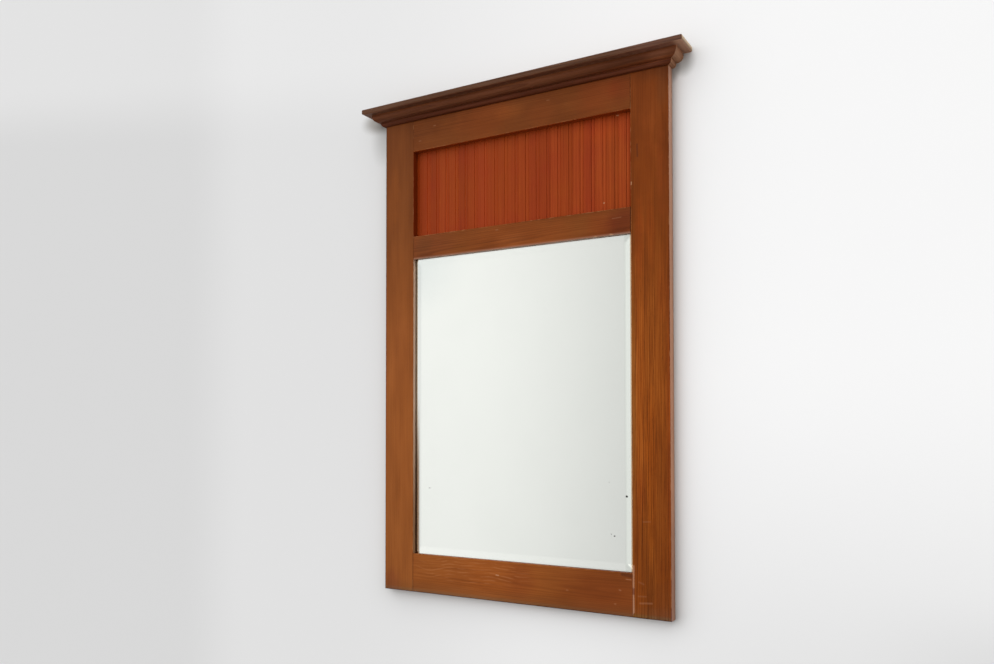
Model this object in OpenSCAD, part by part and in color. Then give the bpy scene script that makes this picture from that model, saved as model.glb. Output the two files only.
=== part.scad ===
// Wall mirror in a stained oak frame: a bevelled plate below, a row of beaded slats above,
// and a moulded cornice on top. Millimetres, +Z up, the front faces -Y.
// The origin is on the wall plane, on the centre line, at the height of the two wall hooks.

/* [Frame] */
// Width over the two stiles
frame_w = 800; // [700:5:1000]
// Thickness of the stiles and rails
frame_t = 26; // [25:0.5:34]
// Width of each stile
stile_w = 92; // [80:1:120]
// Height of the bottom rail
bottom_rail_h = 100; // [80:1:140]
// Height of the middle rail
middle_rail_h = 61; // [56:1:90]
// Height of the top rail, up to the underside of the cap board
top_rail_h = 111; // [90:1:140]
// Height of the opening for the mirror plate
mirror_open_h = 780; // [500:5:1000]
// Height of the opening for the slats
panel_open_h = 228; // [160:1:320]
// Width of the small chamfer on the front edges
arris = 0.8; // [0.4:0.1:1.5]
// Length of the tenons on the rails
tenon_l = 40; // [25:1:42]
// Thickness of the tenons
tenon_t = 8; // [6:0.5:9]
// Wood between the frame's front and the tenons
tenon_front = 8; // [6:0.5:9]
// Shoulder above and below each tenon
tenon_margin = 12; // [11:0.5:14]
// Gap all round a tenon in its mortise
joint_fit = 0.1; // [0.05:0.05:0.3]

/* [Cornice] */
// Thickness of the cap board
cap_t = 13.5; // [10:0.5:20]
// How far the cap board stands out past the frame
cap_proj = 47; // [35:1:60]
// Radius on the cap board's front and end edges
cap_round = 3.5; // [1.5:0.5:4.5]
// How far the crown moulding stands out
crown_proj = 27.5; // [20:0.5:34]
// Height of the crown moulding
crown_h = 18.5; // [15:0.5:22]
// Radius of the crown moulding's quarter round
crown_r = 14.5; // [8:0.5:14.5]
// How far the bead moulding stands out
bead_proj = 10; // [8.5:0.5:14]
// Height of the bead moulding
bead_h = 10.5; // [9.5:0.5:14]
// Radius of the bead moulding's quarter round
bead_r = 8; // [5:0.5:8]

/* [Mirror plate] */
// Wood in front of the mirror plate
mirror_lip = 10; // [8:0.5:12]
// How far the plate's rebate is cut back past the opening
rebate_w = 8; // [6:0.5:9]
// Thickness of the plate
plate_t = 5; // [4:0.5:6]
// Thickness of the plate at the outer edge of its bevel
plate_edge_t = 2; // [1.5:0.1:3]
// Width of the bevel
bevel_w = 25; // [15:1:35]
// Gap between the plate's edges and the rebate
plate_gap = 2; // [1:0.5:3]
// Gap between faces that only lie against each other
seat_gap = 0.1; // [0.05:0.05:0.3]
// Length of each block behind the plate
block_l = 50; // [30:1:80]
// Width of each block behind the plate
block_w = 12; // [8:0.5:16]

/* [Back] */
// Thickness of the backboard
back_t = 5; // [4:0.5:6]
// How far the backboard's rebate is cut back past the mirror opening
back_rebate_w = 20; // [18:0.5:24]
// How far the backboard lies below the frame's back
back_inset = 1; // [0.5:0.1:2]
// Gap between the backboard's edges and its rebate
back_gap = 1; // [0.5:0.1:2]

/* [Slats] */
// Wood in front of the slats
panel_lip = 17; // [14:0.5:17]
// Thickness of the slats
slat_t = 5; // [5:0.5:6]
// Width of the first slat, ripped to fit
first_slat_w = 20; // [14:0.5:24]
// Width of the last slat, ripped to fit
last_slat_w = 15; // [14:0.5:24]
// Width of the beaded edge of a slat
slat_bead_w = 10; // [8:0.5:12]
// Width of the narrow hollow beside the bead
quirk_w = 1.6; // [1:0.1:2.5]
// Depth of the hollow beside the bead
quirk_d = 1.3; // [1.2:0.1:2]
// Length of a slat's tongue
tongue_l = 3; // [2:0.5:4]
// Thickness of a slat's tongue
tongue_t = 1.4; // [1:0.1:1.5]
// Wood between the bottom of the hollow and the tongue
tongue_in = 0.5; // [0.4:0.1:0.8]
// Width of the chamfer on a slat's grooved edge
slat_arris = 0.7; // [0.3:0.1:1]
// Step between the bead and the slat's edge
bead_side = 0.4; // [0.2:0.1:0.8]
// Height of the bead's upright sides, below its round
bead_wall = 0.3; // [0.2:0.1:0.5]
// Gap round a slat's tongue, and between the slats and the frame
slat_gap = 0.3; // [0.2:0.05:0.5]

/* [Hangers] */
// Drop from the underside of the cap board to the wall hooks
hook_drop = 65; // [60:1:75]
// Radius of the hanger ring's wire
wire_r = 1.5; // [1.2:0.1:2]
// Radius of the hanger ring's round, at the middle of its wire
ring_r = 11; // [11:0.5:14]
// Running gap between the ring's bar and its eye
eye_fit = 0.06; // [0.03:0.01:0.1]
// Wall of the eye
eye_wall = 1.5; // [1.5:0.1:2]
// Thickness of the hanger plate
strap_t = 1.2; // [0.8:0.1:1.2]
// Width of the hanger plate
strap_w = 14; // [11:0.5:14]
// Length of the hanger plate below its eye
strap_l = 46; // [44:1:56]
// Width of the pocket in the stile's back
pocket_w = 36; // [36:1:44]
// Room in the pocket above the eye
pocket_above = 26; // [22:1:34]
// Room in the pocket below the eye
pocket_below = 54; // [50:1:64]
// Gap between the eye and the wall
wall_gap = 0.9; // [0.5:0.1:2]

/* [Fasteners] */
// Radius of the cap board's screws
cap_screw_r = 2; // [1.75:0.25:2.5]
// Length of the cap board's screws
cap_screw_l = 40; // [30:1:45]
// Radius of the backboard's screws
back_screw_r = 1.5; // [1.25:0.25:1.75]
// Length of the backboard's screws
back_screw_l = 14; // [10:1:16]
// Radius of the hanger plates' screws
hanger_screw_r = 1.75; // [1.5:0.25:2]
// Length of the hanger plates' screws under the head
hanger_screw_l = 13; // [10:1:14]
// Radius of their pan heads
hanger_head_r = 3.2; // [2.8:0.1:4]
// Height of their pan heads
hanger_head_h = 1.4; // [1:0.1:1.8]
// Drop from the eye to each hanger plate's upper screw
hanger_screw_drop = 19; // [17:0.5:22]
// Spacing of the two screws in each hanger plate
hanger_screw_step = 19; // [14:0.5:20]
// Radius of the brads in the panel's fillets
brad_r = 0.7; // [0.5:0.1:0.9]
// Length of the brads
brad_l = 16; // [12:1:20]
// Gap round each screw and brad in its hole
screw_fit = 0.05; // [0.03:0.01:0.1]

/* [Hidden] */
$fn = 64;
SLATS = 22;

OAK = [0.53, 0.29, 0.14];
DARK_OAK = [0.33, 0.18, 0.11];
RED_STAIN = [0.57, 0.21, 0.08];
PINE = [0.76, 0.62, 0.44];
STEEL = [0.62, 0.62, 0.60];
BRASS = [0.72, 0.56, 0.28];

// Overlap that keeps a cut from ending on a face
CUT = 1;

// Widths and heights of the openings
open_w = frame_w - 2 * stile_w;
open_half = open_w / 2;
half_w = frame_w / 2;

// Heights from the cap board's underside down, with the origin at the wall hooks
z_cap = hook_drop;
z_top = z_cap - top_rail_h;
z_panel = z_top - panel_open_h;
z_middle = z_panel - middle_rail_h;
z_mirror = z_middle - mirror_open_h;
z_bottom = z_mirror - bottom_rail_h;
frame_h = z_cap - z_bottom;

// Depths from the wall at 0 to the front, which is negative
y_front = -frame_t;
y_tenon = y_front + tenon_front;
y_mirror_lip = y_front + mirror_lip;
y_panel_lip = y_front + panel_lip;

// Mirror plate, which bears on the lip with its bevel
plate_side = rebate_w - plate_gap;
plate_at_lip = plate_edge_t + (plate_t - plate_edge_t) * plate_side / bevel_w;
y_plate_back = y_mirror_lip + seat_gap + plate_at_lip;
plate_w = open_w + 2 * plate_side;
plate_h = mirror_open_h + 2 * plate_side;
z_plate = z_mirror + mirror_open_h / 2;

// Backboard and the blocks between it and the plate
y_back_floor = -(back_inset + back_t);
back_side = back_rebate_w - back_gap;
back_w = open_w + 2 * back_side;
back_h = mirror_open_h + 2 * back_side;
block_t = y_back_floor - y_plate_back - 2 * seat_gap;
block_in = rebate_w - seat_gap;
BLOCKS_UP = 3;
BLOCKS_ACROSS = 2;
SCREWS_UP = 3;
SCREWS_ACROSS = 2;
back_screw_in = (rebate_w + back_side) / 2;
back_head_r = 2 * back_screw_r;

// Slats and the fillets that hold them
y_slat = y_panel_lip + seat_gap;
y_slat_back = y_slat + slat_t;
panel_w = open_w + 2 * (rebate_w - slat_gap);
panel_h = panel_open_h + 2 * (rebate_w - slat_gap);
slat_pitch = (panel_w - first_slat_w - last_slat_w) / (SLATS - 2);
tongue_y = quirk_d + tongue_in;
bead_chord = slat_bead_w - quirk_w - bead_side;
bead_rise = quirk_d - bead_wall;
bead_arc_r = (pow(bead_chord / 2, 2) + pow(bead_rise, 2)) / (2 * bead_rise);
fillet_t = -y_slat_back - seat_gap;
fillet_w = rebate_w - seat_gap;
y_brad = -fillet_t / 2;
BRADS_ACROSS = 4;
BRADS_UP = 2;

// Hangers
eye_r = wire_r + eye_fit;
eye_out_r = eye_r + eye_wall;
pocket_d = 2 * eye_out_r + wall_gap;
y_eye = -pocket_d + eye_out_r;
z_eye = -(ring_r - wire_r);
z_pocket_top = z_eye + pocket_above;
z_pocket_bottom = z_eye - pocket_below;
hanger_x = half_w - stile_w / 2;
HANGER_SCREW_Z = [for (i = [0, 1]) z_eye - hanger_screw_drop - i * hanger_screw_step];

// Cap board's screws, two into each stile and two into the top rail
cap_depth = frame_t + cap_proj;
cap_screw_x = half_w - stile_w / 2;
CAP_SCREW_X = [-cap_screw_x, -open_half / 3, open_half / 3, cap_screw_x];
cap_head_r = 2 * cap_screw_r;

// Evenly spaced places, centred on 0
function places(count, span) = [for (i = [0:count - 1]) span * ((i + 0.5) / count - 0.5)];

// Bar section: width along X from 0, back at Y 0, both front edges chamfered
module bar_section(width) {
    polygon([
        [0, 0],
        [width, 0],
        [width, y_front + arris],
        [width - arris, y_front],
        [arris, y_front],
        [0, y_front + arris]
    ]);
}

// Rebate for the mirror plate, with the wider one for the backboard behind it
module mirror_rebate() {
    translate([-open_half - rebate_w, y_mirror_lip, z_mirror - rebate_w])
        cube([open_w + 2 * rebate_w, frame_t, mirror_open_h + 2 * rebate_w]);
    translate([-open_half - back_rebate_w, y_back_floor, z_mirror - back_rebate_w])
        cube([open_w + 2 * back_rebate_w, frame_t, mirror_open_h + 2 * back_rebate_w]);
}

// Rebate for the slats
module panel_rebate() {
    translate([-open_half - rebate_w, y_panel_lip, z_panel - rebate_w])
        cube([open_w + 2 * rebate_w, frame_t, panel_open_h + 2 * rebate_w]);
}

// Tenon on the right end of a rail, grown by a gap where it cuts its mortise
module tenon(z, height, gap) {
    translate([open_half - CUT, y_tenon - gap, z + tenon_margin - gap])
        cube([tenon_l + CUT + gap, tenon_t + 2 * gap, height - 2 * tenon_margin + 2 * gap]);
}

// Right stile, the left one is its mirror image
module stile() {
    difference() {
        translate([open_half, 0, z_bottom])
            linear_extrude(frame_h) bar_section(stile_w);
        mirror_rebate();
        panel_rebate();
        tenon(z_bottom, bottom_rail_h, joint_fit);
        tenon(z_middle, middle_rail_h, joint_fit);
        tenon(z_top, top_rail_h, joint_fit);
        hanger_pocket();
        cap_screw_holes();
        backboard_screw_holes();
        brad_holes();
        translate([hanger_x, 0, 0]) hanger_screw_holes();
    }
}

// Rail between the stiles, with a tenon at each end
module rail(z, height) {
    difference() {
        union() {
            translate([0, 0, z])
                rotate([0, -90, 0]) linear_extrude(open_w, center = true) bar_section(height);
            tenon(z, height, 0);
            mirror([1, 0, 0]) tenon(z, height, 0);
        }
        mirror_rebate();
        panel_rebate();
        cap_screw_holes();
        backboard_screw_holes();
        brad_holes();
    }
}

module left_stile() {
    color(OAK) mirror([1, 0, 0]) stile();
}

module right_stile() {
    color(OAK) stile();
}

module bottom_rail() {
    color(OAK) rail(z_bottom, bottom_rail_h);
}

module middle_rail() {
    color(OAK) rail(z_middle, middle_rail_h);
}

module top_rail() {
    color(OAK) rail(z_top, top_rail_h);
}

// Section of a board with both arrises rounded on its far edge
module nosed_section(depth) {
    square([depth - cap_round, cap_t]);
    translate([0, cap_round]) square([depth, cap_t - 2 * cap_round]);
    for (y = [cap_round, cap_t - cap_round])
        translate([depth - cap_round, y]) circle(r = cap_round);
}

// Turns a section that stands out along +X so that it stands out to the front
module along_front(length) {
    rotate([90, 0, -90]) linear_extrude(length, center = true) children();
}

// Turns the same section so that it stands out to the right and runs forward from the wall
module along_side(length) {
    rotate([90, 0, 0]) linear_extrude(length) children();
}

module cap_board() {
    color(DARK_OAK) difference() {
        translate([0, 0, z_cap]) intersection() {
            along_front(frame_w + 2 * cap_proj) nosed_section(cap_depth);
            union() {
                along_side(cap_depth) nosed_section(half_w + cap_proj);
                mirror([1, 0, 0]) along_side(cap_depth) nosed_section(half_w + cap_proj);
            }
        }
        cap_screw_holes();
    }
}

// Section of a moulding: a fillet at the top and a quarter round under it
module ovolo_section(proj, height, radius) {
    translate([0, radius - height]) square([proj, height - radius]);
    translate([0, -height]) square([proj - radius, height]);
    intersection() {
        translate([proj - radius, radius - height]) circle(r = radius);
        translate([proj - radius, -height]) square(radius);
    }
}

// The space in front of the two mitres, for a moulding that stands out by reach
module mitre_wedge(reach) {
    translate([0, 0, z_top]) linear_extrude(top_rail_h + CUT)
        polygon([
            [-half_w, y_front],
            [half_w, y_front],
            [half_w + reach, y_front - reach],
            [-half_w - reach, y_front - reach]
        ]);
}

// Front length of a moulding whose top is at height z
module moulding_front(z, proj, height, radius) {
    intersection() {
        translate([0, y_front, z])
            along_front(frame_w + 2 * proj) ovolo_section(proj, height, radius);
        mitre_wedge(proj);
    }
}

// Right return of the same moulding
module moulding_return(z, proj, height, radius) {
    difference() {
        translate([half_w, 0, z])
            along_side(frame_t + proj) ovolo_section(proj, height, radius);
        mitre_wedge(proj + CUT);
    }
}

module crown_front() {
    color(DARK_OAK) moulding_front(z_cap, crown_proj, crown_h, crown_r);
}

module crown_right_return() {
    color(DARK_OAK) moulding_return(z_cap, crown_proj, crown_h, crown_r);
}

module crown_left_return() {
    color(DARK_OAK) mirror([1, 0, 0]) moulding_return(z_cap, crown_proj, crown_h, crown_r);
}

module bead_front() {
    color(DARK_OAK) moulding_front(z_cap - crown_h, bead_proj, bead_h, bead_r);
}

module bead_right_return() {
    color(DARK_OAK) moulding_return(z_cap - crown_h, bead_proj, bead_h, bead_r);
}

module bead_left_return() {
    color(DARK_OAK) mirror([1, 0, 0]) moulding_return(z_cap - crown_h, bead_proj, bead_h, bead_r);
}

// Countersunk screw pointing down from its head at 0, grown by a gap where it cuts its hole
module countersunk(radius, head_r, length, gap) {
    head_h = head_r - radius;
    translate([0, 0, -length - gap]) cylinder(r = radius + gap, h = length);
    translate([0, 0, -head_h - gap]) cylinder(r1 = radius + gap, r2 = head_r + gap, h = head_h + gap);
    if (gap > 0) cylinder(r = head_r + gap, h = CUT);
}

module at_cap_screws() {
    for (x = CAP_SCREW_X)
        translate([x, y_front / 2, z_cap + cap_t]) children();
}

module cap_screw_holes() {
    at_cap_screws() countersunk(cap_screw_r, cap_head_r, cap_screw_l, screw_fit);
}

module cap_screws() {
    color(STEEL) at_cap_screws() slotted_screw(cap_screw_r, cap_head_r, cap_screw_l);
}

// Countersunk screw with a slot across its head
module slotted_screw(radius, head_r, length) {
    difference() {
        countersunk(radius, head_r, length, 0);
        slot_cut(head_r);
    }
}

// Screwdriver slot across a head whose top is at 0
module slot_cut(head_r) {
    slot_w = 0.25 * head_r;
    translate([-head_r - CUT, -slot_w / 2, -slot_w]) cube([2 * (head_r + CUT), slot_w, slot_w + CUT]);
}

// Slat section, front at Y 0: a flat face, then the hollow and the bead at its right edge
module slat_section(width, grooved, beaded) {
    difference() {
        square([width, slat_t]);
        if (beaded) translate([width - slat_bead_w, -CUT]) square([slat_bead_w + CUT, quirk_d + CUT]);
        if (grooved) polygon([[-CUT, -CUT], [slat_arris, -CUT], [slat_arris, 0], [0, slat_arris], [-CUT, slat_arris]]);
        if (grooved) translate([-CUT, tongue_y - slat_gap / 2])
            square([CUT + tongue_l + slat_gap, tongue_t + slat_gap]);
    }
    if (beaded) intersection() {
        translate([width - bead_side - bead_chord / 2, bead_arc_r]) circle(r = bead_arc_r);
        translate([width - bead_side - bead_chord, 0]) square([bead_chord, quirk_d + CUT / 2]);
    }
    if (beaded) translate([width - CUT, tongue_y]) square([tongue_l + CUT, tongue_t]);
}

// Slats are numbered from the left, and the first and last are ripped to fit
module panel_slat(i) {
    first = i == 1;
    last = i == SLATS;
    x = -panel_w / 2 + (first ? 0 : first_slat_w + (i - 2) * slat_pitch);
    width = first ? first_slat_w : last ? last_slat_w : slat_pitch;
    color(RED_STAIN)
        translate([x, y_slat, z_panel - rebate_w + slat_gap])
            linear_extrude(panel_h) slat_section(width, !first, !last);
}

// Fillet along one side of the slats' rebate, the right and top ones, with the side ones between
module fillet_upright() {
    color(OAK) difference() {
        translate([open_half + seat_gap / 2, y_slat_back + seat_gap / 2, z_panel])
            cube([fillet_w, fillet_t, panel_open_h]);
        brad_holes();
    }
}

module fillet_across() {
    color(OAK) difference() {
        translate([-open_half - fillet_w, y_slat_back + seat_gap / 2, z_top + seat_gap / 2])
            cube([open_w + 2 * fillet_w, fillet_t, fillet_w]);
        brad_holes();
    }
}

// Reflects about the middle height of the panel opening
module flip_in_panel() {
    middle = z_panel + panel_open_h / 2;
    translate([0, 0, middle]) mirror([0, 0, 1]) translate([0, 0, -middle]) children();
}

// Brads stand in the fillets, flush with their inner edges, and point into the frame
module at_brads_across() {
    for (x = places(BRADS_ACROSS, open_w))
        translate([x, y_brad, z_top + seat_gap / 2]) children();
}

module at_brads_up() {
    for (z = places(BRADS_UP, panel_open_h))
        translate([open_half + seat_gap / 2, y_brad, z_panel + panel_open_h / 2 + z])
            rotate([0, 90, 0]) children();
}

module at_brads() {
    at_brads_across() children();
    flip_in_panel() at_brads_across() children();
    at_brads_up() children();
    mirror([1, 0, 0]) at_brads_up() children();
}

module brad_holes() {
    at_brads() translate([0, 0, -CUT]) cylinder(r = brad_r + screw_fit, h = brad_l + CUT + screw_fit);
}

module fillet_brads() {
    color(STEEL) at_brads() cylinder(r = brad_r, h = brad_l);
}

// Plate section: back at Y 0, bevelled to its edges, centred on X
module plate_section(width) {
    half = width / 2;
    polygon([
        [-half, 0],
        [half, 0],
        [half, -plate_edge_t],
        [half - bevel_w, -plate_t],
        [-half + bevel_w, -plate_t],
        [-half, -plate_edge_t]
    ]);
}

module mirror_plate() {
    color([0.86, 0.89, 0.88])
        translate([0, y_plate_back, z_plate]) intersection() {
            linear_extrude(plate_h, center = true) plate_section(plate_w);
            rotate([0, -90, 0]) linear_extrude(plate_w, center = true) plate_section(plate_h);
        }
}

// Softwood blocks that hold the plate against the lip, in a row along one edge
module block_row(count, span) {
    for (x = places(count, span))
        translate([x - block_l / 2, 0, 0]) cube([block_l, block_t, block_w]);
}

module plate_blocks() {
    y = y_plate_back + seat_gap;
    edge_x = open_half + block_in;
    edge_z = mirror_open_h / 2 + block_in;
    color(PINE) translate([0, y, z_plate]) {
        for (turn = [0, 180]) {
            rotate([0, turn, 0]) translate([0, 0, edge_z - block_w])
                block_row(BLOCKS_ACROSS, open_w);
            rotate([0, turn + 90, 0]) translate([0, 0, edge_x - block_w])
                block_row(BLOCKS_UP, mirror_open_h);
        }
    }
}

module at_back_screws() {
    y = -back_inset;
    for (side = [-1, 1]) {
        for (z = places(SCREWS_UP, mirror_open_h))
            translate([side * (open_half + back_screw_in), y, z_plate + z]) rotate([-90, 0, 0]) children();
        for (x = places(SCREWS_ACROSS, open_w))
            translate([x, y, z_plate + side * (mirror_open_h / 2 + back_screw_in)]) rotate([-90, 0, 0]) children();
    }
}

module backboard_screw_holes() {
    at_back_screws() countersunk(back_screw_r, back_head_r, back_screw_l, screw_fit);
}

module backboard() {
    color(PINE) difference() {
        translate([-back_w / 2, y_back_floor + seat_gap / 2, z_plate - back_h / 2])
            cube([back_w, back_t - seat_gap / 2, back_h]);
        backboard_screw_holes();
    }
}

module backboard_screws() {
    color(STEEL) at_back_screws() slotted_screw(back_screw_r, back_head_r, back_screw_l);
}

// Pocket in the right stile's back, so that the hanger lies below the wall plane
module hanger_pocket() {
    translate([hanger_x - pocket_w / 2, -pocket_d, z_pocket_bottom])
        cube([pocket_w, pocket_d + CUT, z_pocket_top - z_pocket_bottom]);
}

module at_hanger_screws() {
    for (z = HANGER_SCREW_Z)
        translate([0, -pocket_d + strap_t, z]) rotate([-90, 0, 0]) children();
}

module hanger_screw_holes() {
    at_hanger_screws() translate([0, 0, -hanger_screw_l - screw_fit])
        cylinder(r = hanger_screw_r + screw_fit, h = hanger_screw_l + screw_fit + CUT);
}

// Pan-head screws of both hangers
module hanger_screws() {
    color(STEEL) for (side = [-1, 1])
        translate([side * hanger_x, 0, 0]) at_hanger_screws() difference() {
            union() {
                translate([0, 0, -hanger_screw_l]) cylinder(r = hanger_screw_r, h = hanger_screw_l);
                cylinder(r = hanger_head_r, h = hanger_head_h);
            }
            translate([0, 0, hanger_head_h]) slot_cut(hanger_head_r);
        }
}

// Plate with a rolled eye at its top, screwed to the floor of the pocket
module hanger_plate() {
    color(BRASS) difference() {
        union() {
            translate([-strap_w / 2, -pocket_d, z_eye - strap_l]) cube([strap_w, strap_t, strap_l]);
            translate([0, y_eye, z_eye]) rotate([0, 90, 0])
                cylinder(r = eye_out_r, h = strap_w, center = true);
        }
        translate([0, y_eye, z_eye]) rotate([0, 90, 0])
            cylinder(r = eye_r, h = strap_w + 2 * CUT, center = true);
        hanger_screw_holes();
    }
}

module right_hanger_plate() {
    translate([hanger_x, 0, 0]) hanger_plate();
}

module left_hanger_plate() {
    translate([-hanger_x, 0, 0]) hanger_plate();
}

// D-shaped ring that hangs from the eye: a straight bar and a half round below it
module hanger_ring() {
    color(BRASS) translate([0, y_eye, z_eye]) {
        rotate([0, 90, 0]) cylinder(r = wire_r, h = 2 * ring_r, center = true);
        rotate([90, 180, 0]) rotate_extrude(angle = 180, start = 0) translate([ring_r, 0]) circle(r = wire_r);
        for (side = [-1, 1]) translate([side * ring_r, 0, 0]) sphere(r = wire_r);
    }
}

module right_hanger_ring() {
    translate([hanger_x, 0, 0]) hanger_ring();
}

module left_hanger_ring() {
    translate([-hanger_x, 0, 0]) hanger_ring();
}

left_stile();
right_stile();
bottom_rail();
middle_rail();
top_rail();
cap_board();
crown_front();
crown_left_return();
crown_right_return();
bead_front();
bead_left_return();
bead_right_return();
cap_screws();
for (i = [1:SLATS])
    panel_slat(i);
fillet_across();  // panel_fillet_top
flip_in_panel() fillet_across();  // panel_fillet_bottom
fillet_upright();  // panel_fillet_right
mirror([1, 0, 0]) fillet_upright();  // panel_fillet_left
fillet_brads();
mirror_plate();
plate_blocks();
backboard();
backboard_screws();
left_hanger_plate();
right_hanger_plate();
left_hanger_ring();
right_hanger_ring();
hanger_screws();
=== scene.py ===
"""Looks of an oak wall mirror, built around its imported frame. Metres, in the frame's own axes."""

import math

import bmesh
import bpy
from mathutils import Matrix, Vector


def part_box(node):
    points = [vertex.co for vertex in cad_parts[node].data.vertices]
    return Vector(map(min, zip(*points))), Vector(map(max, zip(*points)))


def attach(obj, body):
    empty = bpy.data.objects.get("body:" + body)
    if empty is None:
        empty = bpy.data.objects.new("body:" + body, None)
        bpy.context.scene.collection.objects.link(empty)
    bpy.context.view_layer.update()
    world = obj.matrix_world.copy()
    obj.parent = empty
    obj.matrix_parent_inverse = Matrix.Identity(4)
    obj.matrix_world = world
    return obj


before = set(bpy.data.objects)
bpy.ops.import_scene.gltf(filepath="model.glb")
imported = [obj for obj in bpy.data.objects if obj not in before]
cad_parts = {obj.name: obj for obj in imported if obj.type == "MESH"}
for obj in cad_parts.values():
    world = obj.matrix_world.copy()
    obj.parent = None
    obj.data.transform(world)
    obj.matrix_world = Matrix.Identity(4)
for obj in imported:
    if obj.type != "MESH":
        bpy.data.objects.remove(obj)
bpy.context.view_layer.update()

# The view, solved from the straight edges of the object: pixels, metres and degrees
VIEW_W, VIEW_H = 994, 664
FOCAL_PX = 849.6
CENTRE_PX = (504.0, 405.4)
CAMERA_AT = (1.029, -1.856, -0.782)
YAW, PITCH, ROLL = 30.05, 1.47, -0.06


def srgb(red, green, blue):
    """A display colour, 0 to 255, as the linear colour that nodes take."""
    def linear(value):
        value /= 255
        return value / 12.92 if value <= 0.04045 else ((value + 0.055) / 1.055) ** 2.4
    return (linear(red), linear(green), linear(blue), 1)


def grey(value):
    return srgb(value, value, value)


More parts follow.
